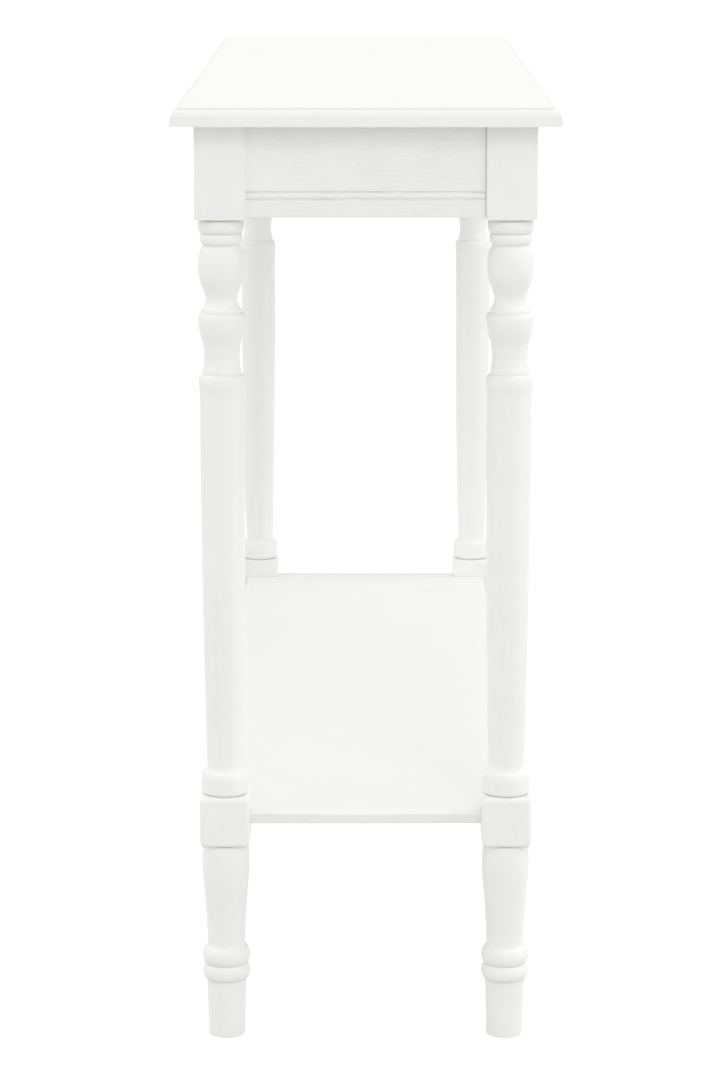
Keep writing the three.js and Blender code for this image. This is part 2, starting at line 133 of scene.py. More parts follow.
def finishPiece(name, bm, materials, nodes, smoothAngle=35, bevel=0.0, flatOver=1e9):
    # square faces, and any over flatOver square millimetres, are shaded flat to keep rounding narrow
    bmesh.ops.remove_doubles(bm, verts=bm.verts, dist=0.000002)
    bmesh.ops.recalc_face_normals(bm, faces=bm.faces)
    mesh = bpy.data.meshes.new(name)
    bm.to_mesh(mesh)
    bm.free()
    for m in materials:
        mesh.materials.append(m)
    mesh.shade_smooth()
    mesh.set_sharp_from_angle(angle=math.radians(smoothAngle))
    for face in mesh.polygons:
        square = max(abs(c) for c in face.normal) > 0.9995 and face.area > 200 * mm * mm
        if square or face.area > flatOver * mm * mm:
            face.use_smooth = False
    piece = bpy.data.objects.new(name, mesh)
    bpy.context.scene.collection.objects.link(piece)
    if bevel > 0:
        ease = piece.modifiers.new("easedEdges", "BEVEL")
        ease.width = bevel
        ease.segments = 2
        ease.limit_method = "ANGLE"
        ease.angle_limit = math.radians(30)
        ease.harden_normals = False
    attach(piece, "root")
    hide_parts(*nodes)
    return piece


def newMaterial(name):
    mat = bpy.data.materials.new(name)
    mat.use_nodes = True
    nodes, links = mat.node_tree.nodes, mat.node_tree.links
    shader = next(n for n in nodes if n.type == "BSDF_PRINCIPLED")
    return mat, nodes, links, shader


def stretched(nodes, links, scale, centre=(0, 0, 0), turn=0.0):
    # object coordinates, squeezed along the grain so that spots turn into fibres
    coord = nodes.new("ShaderNodeTexCoord")
    vector = coord.outputs["Object"]
    if turn:
        about = nodes.new("ShaderNodeMapping")
        about.inputs["Rotation"].default_value = (0, 0, turn)
        links.new(vector, about.inputs["Vector"])
        vector = about.outputs["Vector"]
    place = nodes.new("ShaderNodeMapping")
    place.inputs["Location"].default_value = centre
    place.inputs["Scale"].default_value = scale
    links.new(vector, place.inputs["Vector"])
    return place.outputs["Vector"]


def noise(nodes, links, vector, scale, detail=3, rough=0.5, distortion=0.0):
    n = nodes.new("ShaderNodeTexNoise")
    n.inputs["Scale"].default_value = scale
    n.inputs["Detail"].default_value = detail
    n.inputs["Roughness"].default_value = rough
    n.inputs["Distortion"].default_value = distortion
    links.new(vector, n.inputs["Vector"])
    return n.outputs["Fac"]


def remap(nodes, links, value, fromLow, fromHigh, toLow, toHigh):
    m = nodes.new("ShaderNodeMapRange")
    m.inputs["From Min"].default_value = fromLow
    m.inputs["From Max"].default_value = fromHigh
    m.inputs["To Min"].default_value = toLow
    m.inputs["To Max"].default_value = toHigh
    links.new(value, m.inputs["Value"])
    return m.outputs["Result"]


def maths(nodes, links, operation, a, b):
    m = nodes.new("ShaderNodeMath")
    m.operation = operation
    for socket, value in zip(m.inputs, (a, b)):
        if isinstance(value, (int, float)):
            socket.default_value = value
        else:
            links.new(value, socket)
    return m.outputs["Value"]


def mixColours(nodes, links, fac, first, second):
    m = nodes.new("ShaderNodeMix")
    m.data_type = "RGBA"
    if isinstance(fac, (int, float)):
        m.inputs["Factor"].default_value = fac
    else:
        links.new(fac, m.inputs["Factor"])
    for socket, value in ((m.inputs["A"], first), (m.inputs["B"], second)):
        if isinstance(value, tuple):
            socket.default_value = (*value, 1)
        else:
            links.new(value, socket)
    return m.outputs["Result"]


def addBump(nodes, links, height, distance, strength, before=None):
    b = nodes.new("ShaderNodeBump")
    b.inputs["Distance"].default_value = distance
    b.inputs["Strength"].default_value = strength
    links.new(height, b.inputs["Height"])
    if before is not None:
        links.new(before, b.inputs["Normal"])
    return b.outputs["Normal"]


paintLook = {
    "white": (0.890, 0.895, 0.892),         # body of the paint
    # poresAndShade colours the pores, and is also the colour that paintedShade darkens towards: painted
    # shade
    "poresAndShade": (0.80, 0.80, 0.775),            # where it is thin, over the pores
    "roughLow": 0.36, "roughHigh": 0.50,
    "fibresPerMetre": 1600,
    "stretch": 0.045,                       # fibre width against its length
    "patchesPerMetre": 22,                  # where the pores come and go
    "cloudsPerMetre": 3.2,                  # faint unevenness of the white
    "glossPerMetre": 26,
    "brushPerMetre": 300,
    "brushStretch": 0.2,
    "brushBump": 0.00004,
    "poreBump": 0.00014,
    "ringsPerMetre": 230,
    "ringStretch": 0.1,
    "knotRings": 9.0,
}


def ringFigure(nodes, links, grainAxis, centre, amount):
    # long arches of the annual rings, as on a flat-sawn board
    slow = [1.0, 1.0, 1.0]
    slow[grainAxis] = paintLook["ringStretch"]
    shift = tuple(-c * s for c, s in zip(centre, slow))
    rings = nodes.new("ShaderNodeTexWave")
    rings.wave_type = "RINGS"
    rings.rings_direction = "SPHERICAL"
    rings.inputs["Scale"].default_value = paintLook["ringsPerMetre"] * math.tau / 20
    rings.inputs["Distortion"].default_value = 2.6
    rings.inputs["Detail"].default_value = 2
    rings.inputs["Detail Scale"].default_value = 0.35
    links.new(stretched(nodes, links, tuple(slow), centre=shift), rings.inputs["Vector"])
    return remap(nodes, links, rings.outputs["Fac"], 0.70, 0.98, 0.0, amount)


def paintedWood(name, grainAxis, grain=0.35, figure=0.0, figureCentre=(0, 0, 0), knots=(), paintedShade=0.0):
    # satin white paint; grain is how much of the wood's pores still shows through it, paintedShade how
    # much painted shade darkens it all
    look = paintLook
    mat, nodes, links, shader = newMaterial(name)
    squeeze = [1.0, 1.0, 1.0]
    squeeze[grainAxis] = look["stretch"]
    along = stretched(nodes, links, tuple(squeeze))
    plain = stretched(nodes, links, (1, 1, 1))

    fibres = noise(nodes, links, along, look["fibresPerMetre"], 3, 0.55, 0.3)
    lines = remap(nodes, links, fibres, 0.50, 0.64, 0.0, 1.0)          # only the deeper pores stay
    patches = noise(nodes, links, plain, look["patchesPerMetre"], 2, 0.5)
    lines = maths(nodes, links, "MULTIPLY", lines, remap(nodes, links, patches, 0.36, 0.60, 0.2, 1.0))
    if figure > 0:
        arches = ringFigure(nodes, links, grainAxis, figureCentre, figure)
        gaps = remap(nodes, links, fibres, 0.36, 0.56, 0.0, 1.0)
        broken = maths(nodes, links, "MULTIPLY", arches, gaps)
        lines = maths(nodes, links, "MAXIMUM", lines, broken)
    lines = maths(nodes, links, "MULTIPLY", lines, grain)
    for centre, size in knots:
        spread = tuple(1 / size if i != grainAxis else 0.5 / size for i in range(3))
        shift = tuple(-c * s for c, s in zip(centre, spread))
        reach = nodes.new("ShaderNodeVectorMath")
        reach.operation = "LENGTH"
        links.new(stretched(nodes, links, spread, centre=shift), reach.inputs[0])
        swirl = maths(nodes, links, "MULTIPLY", reach.outputs["Value"], look["knotRings"])
        swirl = maths(nodes, links, "SINE", swirl, 0.0)
        fade = remap(nodes, links, reach.outputs["Value"], 0.15, 1.0, 0.55, 0.0)
        spot = maths(nodes, links, "MULTIPLY", remap(nodes, links, swirl, -0.4, 1.0, 0.25, 1.0), fade)
        lines = maths(nodes, links, "MAXIMUM", lines, spot)

    clouds = noise(nodes, links, plain, look["cloudsPerMetre"], 2, 0.5)
    # paintedShade moves the whole tone towards the darker colour, as painted shade
    tone = remap(nodes, links, clouds, 0.3, 0.7, paintedShade, paintedShade + 0.08)
    shade = maths(nodes, links, "MAXIMUM", tone, lines)
    links.new(mixColours(nodes, links, shade, look["white"], look["poresAndShade"]), shader.inputs["Base Color"])

    gloss = noise(nodes, links, plain, look["glossPerMetre"], 3, 0.55)
    rough = remap(nodes, links, gloss, 0.3, 0.7, look["roughLow"], look["roughHigh"])
    links.new(rough, shader.inputs["Roughness"])

    squeeze[grainAxis] = look["brushStretch"]
    brush = noise(nodes, links, stretched(nodes, links, tuple(squeeze)), look["brushPerMetre"], 2, 0.5)
    low = maths(nodes, links, "SUBTRACT", 1.0, lines)
    normal = addBump(nodes, links, brush, look["brushBump"], 1.0)
    normal = addBump(nodes, links, low, look["poreBump"], 1.0, normal)
    links.new(normal, shader.inputs["Normal"])
    return mat


bareLook = {
    "light": (0.78, 0.68, 0.52),
    "dark": (0.60, 0.48, 0.33),
    "bandsPerMetre": 120,
    "poresPerMetre": 900,
    "stretch": 0.06,
    "poreBump": 0.00012,
}


def bareWood(name, grainAxis, turn=0.0):
    # unpainted softwood in the joints
    mat, nodes, links, shader = newMaterial(name)
    squeeze = [1.0, 1.0, 1.0]
    squeeze[grainAxis] = bareLook["stretch"]
    along = stretched(nodes, links, tuple(squeeze), turn=turn)
    bands = noise(nodes, links, along, bareLook["bandsPerMetre"], 4, 0.55, 0.4)
    pores = noise(nodes, links, along, bareLook["poresPerMetre"], 2, 0.5)
    fac = maths(nodes, links, "ADD", remap(nodes, links, bands, 0.35, 0.7, 0.0, 0.8),
                remap(nodes, links, pores, 0.5, 0.8, 0.0, 0.3))
    colour = mixColours(nodes, links, fac, bareLook["light"], bareLook["dark"])
    links.new(colour, shader.inputs["Base Color"])
    links.new(remap(nodes, links, bands, 0.3, 0.7, 0.68, 0.84), shader.inputs["Roughness"])
    links.new(addBump(nodes, links, pores, bareLook["poreBump"], 1.0), shader.inputs["Normal"])
    return mat


zincLook = {
    "bright": (0.62, 0.63, 0.64),
    "dull": (0.46, 0.47, 0.48),
    "blotchesPerMetre": 260,
    "dimplesPerMetre": 1500,
    "dimpleBump": 0.00003,
}


def zincPlate(name):
    mat, nodes, links, shader = newMaterial(name)
    plain = stretched(nodes, links, (1, 1, 1))
    blotch = noise(nodes, links, plain, zincLook["blotchesPerMetre"], 4, 0.6)
    fac = remap(nodes, links, blotch, 0.35, 0.7, 0, 1)
    colour = mixColours(nodes, links, fac, zincLook["bright"], zincLook["dull"])
    links.new(colour, shader.inputs["Base Color"])
    shader.inputs["Metallic"].default_value = 1.0
    links.new(remap(nodes, links, blotch, 0.3, 0.7, 0.28, 0.46), shader.inputs["Roughness"])
    dimples = noise(nodes, links, plain, zincLook["dimplesPerMetre"], 2)
    links.new(addBump(nodes, links, dimples, zincLook["dimpleBump"], 1.0), shader.inputs["Normal"])
    return mat


print("materials")
paintTop = paintedWood("paintTop", 0, 0.16)
# the moulding, the field step and the shelf's edge strips are painted darker than the rest: painted shade
paintMouldingShade = paintedWood("paintMouldingShade", 0, 0.12, paintedShade=0.45)
paintStepShade = paintedWood("paintStepShade", 0, 0.12, paintedShade=1.0)
paintShelfEdgeGrainShade = paintedWood("paintShelfEdgeGrainShade", 1, 0.9, paintedShade=0.25)
paintShelf = paintedWood("paintShelf", 0, 0.14, knots=[((-0.405, 0.070, 0.197), 0.018),
                                                       ((0.16, -0.07, 0.197), 0.007)])
paintLongApron = paintedWood("paintLongApron", 0, 0.5, 0.45, (0.12, 0.0, 0.757))
paintEndApron = paintedWood("paintEndApron", 1, 0.6, 0.5, (0.0, 0.018, 0.757))
paintUpright = paintedWood("paintLegs", 2, 0.28)
endGrain = bareWood("bareEndGrain", 2)
blockWoods = [bareWood("cornerBlockWoodA", 0, math.radians(45)),
              bareWood("cornerBlockWoodB", 0, math.radians(-45))]
zinc = zincPlate("zincPlate")


topShape = {
    "lip": 5.2,            # square edge at the bottom
    "quirk": 0.35,         # ledge between the lip and the round
    "fieldInset": 7.4,     # flat field starts this far in
    "fieldStep": 1.6,      # small step up to it
    "stepNick": 0.4,       # level ledge at the foot of the step
    "roundSteps": 12,
    "easedEdge": 0.1,
}


def insetUp(bm, face, inward, up):
    bmesh.ops.inset_region(bm, faces=[face], thickness=inward, depth=up, use_even_offset=True,
                           use_boundary=True)


def makeTop():
    s = topShape
    low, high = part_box("top_panel")
    thick = (high.z - low.z) / mm
    bm = boxMesh(low, Vector((high.x, high.y, low.z + s["lip"] * mm)))
    face = max(bm.faces, key=lambda f: f.calc_center_median().z)
    insetUp(bm, face, s["quirk"] * mm, 0)
    across = s["fieldInset"] - s["quirk"] - s["stepNick"]
    tall = thick - s["lip"] - s["fieldStep"]
    lipFaces = len(bm.faces)
    for i in range(s["roundSteps"]):
        a0 = math.pi / 2 * i / s["roundSteps"]
        a1 = math.pi / 2 * (i + 1) / s["roundSteps"]
        inward = across * (math.cos(a0) - math.cos(a1))
        up = tall * (math.sin(a1) - math.sin(a0))
        insetUp(bm, face, inward * mm, up * mm)
    bm.faces.ensure_lookup_table()
    for f in bm.faces[lipFaces:]:
        f.material_index = 1                       # the moulding is painted a shade darker than the field: painted shade
    insetUp(bm, face, s["stepNick"] * mm, 0)
    face.material_index = 2                        # and the step darker still: painted shade on its upright face
    insetUp(bm, face, 0.01 * mm, s["fieldStep"] * mm)
    face.material_index = 0
    return finishPiece("top_panel_moulded", bm, [paintTop, paintMouldingShade, paintStepShade], ["top_panel"],
                       smoothAngle=28, bevel=s["easedEdge"] * mm)


apronShape = {
    "lowerGroove": 14.7,   # middle of the lower groove above the bottom edge
    "grooveSpacing": 6.2,
    "grooveWide": 1.7,
    "grooveDeep": 1.7,
    "beadSteps": 6,
    "easedEdge": 0.7,
    "endEase": 0.05,       # hardly any chamfer where it meets a post
    "looseEase": 1.3,      # and at the one end that was eased more
    "touch": 0.29,         # closes all but a hair of the gap to the posts
}


def apronSection(bottom, top, thick):
    # (out, up) with the face at out = 0; a round bead stands between two grooves
    s = apronShape
    half = s["grooveWide"] / 2
    lower = bottom + s["lowerGroove"]
    upper = lower + s["grooveSpacing"]
    ease = s["easedEdge"]
    section = [(-thick, top), (-thick, bottom)]
    for i in range(4):
        a = math.pi / 2 * i / 3
        section.append((ease * (math.sin(a) - 1), bottom + ease * (1 - math.cos(a))))
    deep = -s["grooveDeep"]
    section += [(0, lower - half), (deep, lower - half * 0.25), (deep, lower + half * 0.35)]
    low, high = lower + half * 0.6, upper - half * 0.6
    for i in range(s["beadSteps"] + 1):
        a = math.pi * i / s["beadSteps"]
        out = deep * 0.75 * (1 - math.sin(a))
        section.append((out, (low + high) / 2 - (high - low) / 2 * math.cos(a)))
    section += [(deep, upper - half * 0.35), (deep, upper + half * 0.25), (0, upper + half)]
    section.append((0, top))
    return section


def makeApron(node, axis, side, material, looseEnd=False):
    # axis is the one that the apron faces along, side which way
    s = apronShape
    low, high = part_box(node)
    run = 1 - axis
    start, end = low[run] / mm - s["touch"], high[run] / mm + s["touch"]
    endEase = s["looseEase"] if looseEnd else s["endEase"]
    face = (high if side > 0 else low)[axis] / mm
    section = apronSection(low.z / mm, high.z / mm, (high[axis] - low[axis]) / mm)
    bm = bmesh.new()
    rings = []
    stations = [(start, s["endEase"]), (start + s["endEase"], 0), (end - endEase, 0), (end, endEase)]
    for place, back in stations:
        ring = []
        for out, up in section:
            point = [0, 0, up * mm]
            eased = out - back if out > -s["grooveDeep"] - 1 else out
            point[axis] = (face + side * eased) * mm
            point[run] = place * mm
            ring.append(bm.verts.new(point))
        edges = [bm.edges.new(pair) for pair in zip(ring, ring[1:] + ring[:1])]
        rings.append(edges)
    for first, second in zip(rings, rings[1:]):
        bmesh.ops.bridge_loops(bm, edges=first + second)
    for edges in (rings[0], rings[-1]):
        bmesh.ops.contextual_create(bm, geom=edges)
    return finishPiece(node + "_beaded", bm, [material], [node], smoothAngle=38,
                       flatOver=1500)


studShape = {
    "radius": 4.0, "bore": 4.3, "thread": 0.5, "pitch": 2.6, "point": 8.0,
    "inPost": 32, "inColumnTop": 30, "inColumnFoot": 38, "inFoot": 44,
}

legShape = {
    "turns": 72,           # steps round
    "curveSteps": 9,
    "postRound": 0.9,
    "blockRound": 4.0,
    "neckGap": 0.8,        # bare wood that shows under the posts
    "neckRadius": 16.9,
    "lowGap": 0.55,        # painted joints above and below the shelf blocks
    "lowNeckRadius": 18.6,
}


def bow(points, control, end):
    # a smooth sweep from the last point to end
    r0, z0 = points[-1]
    steps = legShape["curveSteps"]
    for i in range(1, steps + 1):
        t = i / steps
        a, b, c = (1 - t) ** 2, 2 * t * (1 - t), t * t
        points.append((a * r0 + b * control[0] + c * end[0], a * z0 + b * control[1] + c * end[1]))


def sweep(points, controlA, controlB, end):
    # the same with two controls, for the long S curves
    r0, z0 = points[-1]
    steps = legShape["curveSteps"] + 5
    for i in range(1, steps + 1):
        t = i / steps
        a, b, c, d = (1 - t) ** 3, 3 * t * (1 - t) ** 2, 3 * t * t * (1 - t), t ** 3
        points.append((a * r0 + b * controlA[0] + c * controlB[0] + d * end[0],
                       a * z0 + b * controlA[1] + c * controlB[1] + d * end[1]))


def bead(points, end, swell):
    # a full round from the last point to end, standing out by swell
    r0, z0 = points[-1]
    steps = legShape["curveSteps"] + 3
    for i in range(1, steps + 1):
        t = i / steps
        angle = math.pi * t
        points.append((r0 + (end[0] - r0) * t + swell * math.sin(angle),
                       z0 + (end[1] - z0) * (1 - math.cos(angle)) / 2))


def turnPiece(points, axisX, axisY):
    bm = spun(points, legShape["turns"])
    bmesh.ops.translate(bm, vec=(axisX, axisY, 0), verts=bm.verts)
    return bm


def bareNeck(bm, low):
    # the gap under the post shows bare wood
    for f in bm.faces:
        if f.calc_center_median().z > low * mm:
            f.material_index = 1


def fillet(points, radius, low, high, quirk=0.5):
    # a narrow flat band that stands a little out of the curve, with a nick on each side
    points.append((radius - quirk, low))
    points.append((radius, low + 0.25))
    points.append((radius, high - 0.25))
    points.append((radius - quirk, high))


def columnOutline(low, high):
    s = legShape
    neck, lowNeck, bore = s["neckRadius"], s["lowNeckRadius"], studShape["bore"]
    footEnd, topEnd = low + studShape["inColumnFoot"] + 1, high - studShape["inColumnTop"] - 1
    p = [(0, footEnd), (bore, footEnd), (bore, low), (lowNeck, low), (lowNeck, low + s["lowGap"])]
    p.append((19.2, low + s["lowGap"]))
    bow(p, (20.4, low + s["lowGap"] + 0.2), (20.4, low + 5))
    p.append((20.4, low + 11))
    bow(p, (20.4, low + 20.2), (15.7, low + 20.6))                     # bottom ring
    p.append((15.3, low + 21.0))
    p.append((15.25, low + 25))
    bow(p, (18.9, low + 158), (18.95, high - 149))                     # swelling shaft
    bow(p, (19.0, high - 144), (19.6, high - 141.5))
    p.append((19.65, high - 137.5))
    bow(p, (19.7, high - 131.2), (17.4, high - 130.4))                 # shoulder
    p.append((16.2, high - 129.9))
    fillet(p, 16.4, high - 129.2, high - 125.4)
    bow(p, (14.4, high - 119), (15.3, high - 110))
    sweep(p, (15.9, high - 100), (19.5, high - 97), (19.9, high - 84.6))   # vase
    bow(p, (20.0, high - 79.3), (17.9, high - 78.9))
    p.append((16.9, high - 78.6))
    fillet(p, 17.0, high - 77.9, high - 75.0)
    bow(p, (13.4, high - 72.2), (13.45, high - 66.6))                  # neck
    sweep(p, (13.7, high - 59), (19.3, high - 55), (19.35, high - 39.7))   # bulb
    sweep(p, (19.35, high - 30), (17.2, high - 24.4), (15.3, high - 22.3))
    p.append((15.0, high - 21.6))
    bead(p, (16.2, high - 12.0), 2.3)
    bead(p, (17.2, high - s["neckGap"]), 2.7)
    p += [(neck, high - s["neckGap"]), (neck, high), (bore, high), (bore, topEnd), (0, topEnd)]
    return p


def footOutline(high):
    s = legShape
    neck = s["lowNeckRadius"]
    p = [(0, 0), (14.6, 0)]
    bow(p, (15.4, 0), (15.5, 0.9))
    p.append((15.9, 14))
    p.append((16.6, 42))
    bow(p, (16.7, 47), (17.4, 50.2))
    p.append((16.9, 50.4))
    bead(p, (16.9, 64.4), 3.5)
    bead(p, (16.4, 79.6), 3.7)
    p.append((15.9, 80.0))
    sweep(p, (16.2, 100), (17.4, 112), (18.2, 124))
    sweep(p, (19.0, 135), (20.2, 141), (20.2, 152))
    bow(p, (20.2, high - 5), (19.2, high - s["lowGap"] - 0.2))
    p.append((19.1, high - s["lowGap"]))
    bore, end = studShape["bore"], high - studShape["inFoot"] - 1
    p += [(neck, high - s["lowGap"]), (neck, high), (bore, high), (bore, end), (0, end)]
    return p


def makeColumn(corner):
    node = "column_" + corner
    low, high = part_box(node)
    middle = (low + high) / 2
    z0, z1 = low.z / mm, high.z / mm
    bm = turnPiece(columnOutline(z0, z1), middle.x, middle.y)
    bareNeck(bm, z1 - legShape["neckGap"] * 0.99)
    return finishPiece(node + "_turned", bm, [paintUpright, endGrain], [node],
                       smoothAngle=48)


def makeFoot(corner):
    node = "foot_" + corner
    low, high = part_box(node)
    middle = (low + high) / 2
    bm = turnPiece(footOutline(high.z / mm), middle.x, middle.y)
    return finishPiece(node + "_turned", bm, [paintUpright], [node], smoothAngle=48)


def makePost(corner):
    node = "post_" + corner
    low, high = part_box(node)
    middle = (low + high) / 2
    bm = boxMesh(low, high)
    roundEdges(bm, edgesAlong(bm, 2), legShape["postRound"] * mm, 3)
    ends = [e for e in bm.edges if abs(e.verts[0].co.z - e.verts[1].co.z) < 1e-6]
    roundEdges(bm, ends, 0.4 * mm, 2)
    holeTop = low.z + (studShape["inPost"] + 1) * mm
    studHole = drill(studShape["bore"] * mm, low.z - 0.01, holeTop, middle.x, middle.y)
    bm = cutWith(bm, [studHole])
    return finishPiece(node + "_square", bm, [paintUpright], [node], smoothAngle=30,
                       flatOver=600)


def makeBlock(corner):
    # housed on its inner sides for the shelf's tongue, and drilled through for the stud
    node = "shelf_block_" + corner
    low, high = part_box(node)
    middle = (low + high) / 2
    bm = boxMesh(low, high)
    roundEdges(bm, bm.edges[:], legShape["blockRound"] * mm, 6)
    shelfLow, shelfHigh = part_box("shelf")
    fit = shelfShape["fit"] * mm
    spare = Vector((fit, fit, fit))
    tongueTop = Vector((0, 0, shelfShape["rebate"] * mm))
    housing = boxMesh(shelfLow - spare, shelfHigh + spare - tongueTop)
    studHole = drill(studShape["bore"] * mm, low.z - 0.01, high.z + 0.01, middle.x, middle.y)
    bm = cutWith(bm, [housing, studHole])
    return finishPiece(node + "_square", bm, [paintUpright], [node], smoothAngle=30,
                       flatOver=600)


shelfShape = {
    "easedEdge": 1.3,
    "rebate": 1.0,         # its corners are thinned to tongues that go into the blocks
    "notch": 5.0,          # and notched round the studs
    "fit": 0.12,
}


def makeShelf():
    s = shelfShape
    low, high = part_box("shelf")
    bm = boxMesh(low, high)
    roundEdges(bm, bm.edges[:], s["easedEdge"] * mm, 4)
    cutters = []
    for corner in cornerNames:
        blockLow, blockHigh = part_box("shelf_block_" + corner)
        middle = (blockLow + blockHigh) / 2
        spare = Vector((s["fit"] * mm, s["fit"] * mm, 0))
        cutLow, cutHigh = blockLow - spare, blockHigh + spare
        cutLow.z = high.z - s["rebate"] * mm
        cutters.append(boxMesh(cutLow, cutHigh))
        cutters.append(drill(s["notch"] * mm, low.z - 0.01, high.z + 0.01, middle.x, middle.y))
    bm = cutWith(bm, cutters)
    bm.normal_update()
    for f in bm.faces:
        if abs(f.normal.x) > 0.9:
            f.material_index = 1                   # the grain runs across on the edge strips, which are also painted darker: painted shade
    return finishPiece("shelf_board", bm, [paintShelf, paintShelfEdgeGrainShade], ["shelf"],
                       smoothAngle=30, flatOver=1500)


jointShape = {
    # distances along the corner's diagonal, from the leg's axis inwards
    "washerSeat": 52.998, "nutSeat": 54.898, "boltTip": 0.7, "boltEnd": 65.698, "level": 749.7,
    "washerRadius": 8.0, "washerThick": 1.6,
    "acrossFlats": 10.0, "nutThick": 5.0,
    "boltRadius": 3.0, "woodThread": 29.0, "woodPitch": 2.4, "nutThread": 22.0, "nutPitch": 1.0,
    "screwRadius": 2.0, "screwPitch": 1.8, "headRadius": 3.8, "headHeight": 2.6,
    # screw points and heads, in the corner's own drawing
    "apronTip": (-60.0, 15.3, 760.7), "apronHead": (-60.0, -11.7, 760.7),
    "topTip": (-17.46, -42.92, 794.5), "topHead": (-17.46, -42.92, 748.5),
    "blockEase": 1.2,
}


def onDiagonal(distance):
    along = -distance * math.sqrt(0.5)
    return Vector((along, along, jointShape["level"]))


def layBetween(bm, start, end, corner):
    # lays a piece drawn upright from start towards end, in the corner's own place
    way = (end - start).normalized().to_track_quat("Z", "Y").to_matrix().to_4x4()
    matrix = cornerMatrix(corner) @ Matrix.Translation(start * mm) @ way
    bmesh.ops.transform(bm, matrix=matrix, verts=bm.verts)
    return bm


def threaded(points, radius, depth, start, end, pitch):
    turns = int((end - start) / pitch)
    for i in range(turns):
        z = start + i * pitch
        points.append((radius - depth, z + pitch * 0.1))
        points.append((radius, z + pitch * 0.5))
        points.append((radius, z + pitch * 0.6))
    points.append((radius - depth, start + turns * pitch))


def hardwarePiece(kind, corner, bm, smoothAngle=35):
    node = kind + "_" + corner
    return finishPiece(node + "_steel", bm, [zinc], [node], smoothAngle=smoothAngle)


def makeWasher(corner):
    s = jointShape
    inner, outer, thick, ease = s["boltRadius"] + 0.3, s["washerRadius"], s["washerThick"], 0.25
    outline = [(inner, ease), (inner + ease, 0), (outer - ease, 0), (outer, ease), (outer, thick - ease),
               (outer - ease * 1.6, thick), (inner + ease, thick), (inner, thick - ease), (inner, ease)]
    bm = spun(outline, 40)
    layBetween(bm, onDiagonal(s["washerSeat"]), onDiagonal(s["nutSeat"]), corner)
    return hardwarePiece("washer", corner, bm)


def makeNut(corner):
    s = jointShape
    apothem, thick, bore = s["acrossFlats"] / 2, s["nutThick"], s["boltRadius"] + 0.1
    steps = 48
    rim = apothem * 0.94

    def ring(bm, radiusAt, heightAt):
        verts = []
        for i in range(steps):
            angle = math.tau * i / steps
            r = radiusAt(angle)
            place = (r * math.cos(angle) * mm, r * math.sin(angle) * mm, heightAt(r) * mm)
            verts.append(bm.verts.new(place))
        return [bm.edges.new(pair) for pair in zip(verts, verts[1:] + verts[:1])]

    def hexagon(angle):
        return apothem / math.cos(angle % (math.pi / 3) - math.pi / 6)

    def circle(radius):
        return lambda angle: radius

    def drop(r):
        return (r - rim) * math.tan(math.radians(30))

    bm = bmesh.new()
    loops = [ring(bm, circle(bore), lambda r: 0.7), ring(bm, circle(bore + 0.6), lambda r: 0),
             ring(bm, circle(rim), lambda r: 0), ring(bm, hexagon, drop),
             ring(bm, hexagon, lambda r: thick - drop(r)), ring(bm, circle(rim), lambda r: thick),
             ring(bm, circle(bore + 0.6), lambda r: thick), ring(bm, circle(bore), lambda r: thick - 0.7)]
    for first, second in zip(loops, loops[1:] + loops[:1]):
        bmesh.ops.bridge_loops(bm, edges=first + second)
    layBetween(bm, onDiagonal(s["nutSeat"]), onDiagonal(s["boltEnd"]), corner)
    return hardwarePiece("hex_nut", corner, bm, 25)


def makeHangerBolt(corner):
    s = jointShape
    radius, wood, length = s["boltRadius"], s["woodThread"], s["boltEnd"] - s["boltTip"]
    points = [(0, 0), (1.2, 3)]
    threaded(points, radius, 0.6, 5, wood - 2, s["woodPitch"])
    nutStart = length - s["nutThread"]
    points += [(radius - 0.1, wood - 1), (radius - 0.1, nutStart)]
    threaded(points, radius - 0.1, 0.4, nutStart, length - 1, s["nutPitch"])
    points += [(radius - 1, length), (0, length)]
    bm = layBetween(spun(points), onDiagonal(s["boltTip"]), onDiagonal(s["boltEnd"]), corner)
    return hardwarePiece("hanger_bolt", corner, bm)


def makeScrew(kind, corner, tip, head):
    # countersunk, with a cross recess pressed into the head
    s = jointShape
    length, radius = (head - tip).length, s["screwRadius"]
    points = [(0, 0), (0.7, 2)]
    threaded(points, radius, 0.5, 3, length * 0.62, s["screwPitch"])
    points += [(radius - 0.3, length * 0.64), (radius - 0.3, length - s["headHeight"]),
               (s["headRadius"], length - 0.35), (s["headRadius"], length - 0.1),
               (s["headRadius"] - 0.2, length)]
    points += [(2.2, length), (1.9, length), (1.2, length), (0.5, length), (0, length)]
    bm = spun(points, 32)
    for v in bm.verts:
        r = math.hypot(v.co.x, v.co.y) / mm
        if v.co.z / mm > length - 0.01 and r < 2:
            offAxis = abs(math.sin(2 * math.atan2(v.co.y, v.co.x)))
            if r < 0.6 or offAxis < 0.45:
                v.co.z -= (1.5 - 0.35 * r) * mm
    layBetween(bm, tip, head, corner)
    return hardwarePiece(kind, corner, bm)


def makeStud(kind, corner, bottom, top):
    s = studShape
    points = [(0, 0), (1.4, s["point"] * 0.5)]
    middle = (top - bottom) / 2
    threaded(points, s["radius"], s["thread"], s["point"] * 0.6, middle - 3, s["pitch"])
    points += [(s["radius"] - 0.3, middle - 2), (s["radius"] - 0.3, middle + 2)]
    threaded(points, s["radius"], s["thread"], middle + 3, top - bottom - s["point"] * 0.6, s["pitch"])
    points += [(1.4, top - bottom - s["point"] * 0.5), (0, top - bottom)]
    bm = layBetween(spun(points, 20), Vector((0, 0, bottom)), Vector((0, 0, top)), corner)
    return hardwarePiece(kind, corner, bm)


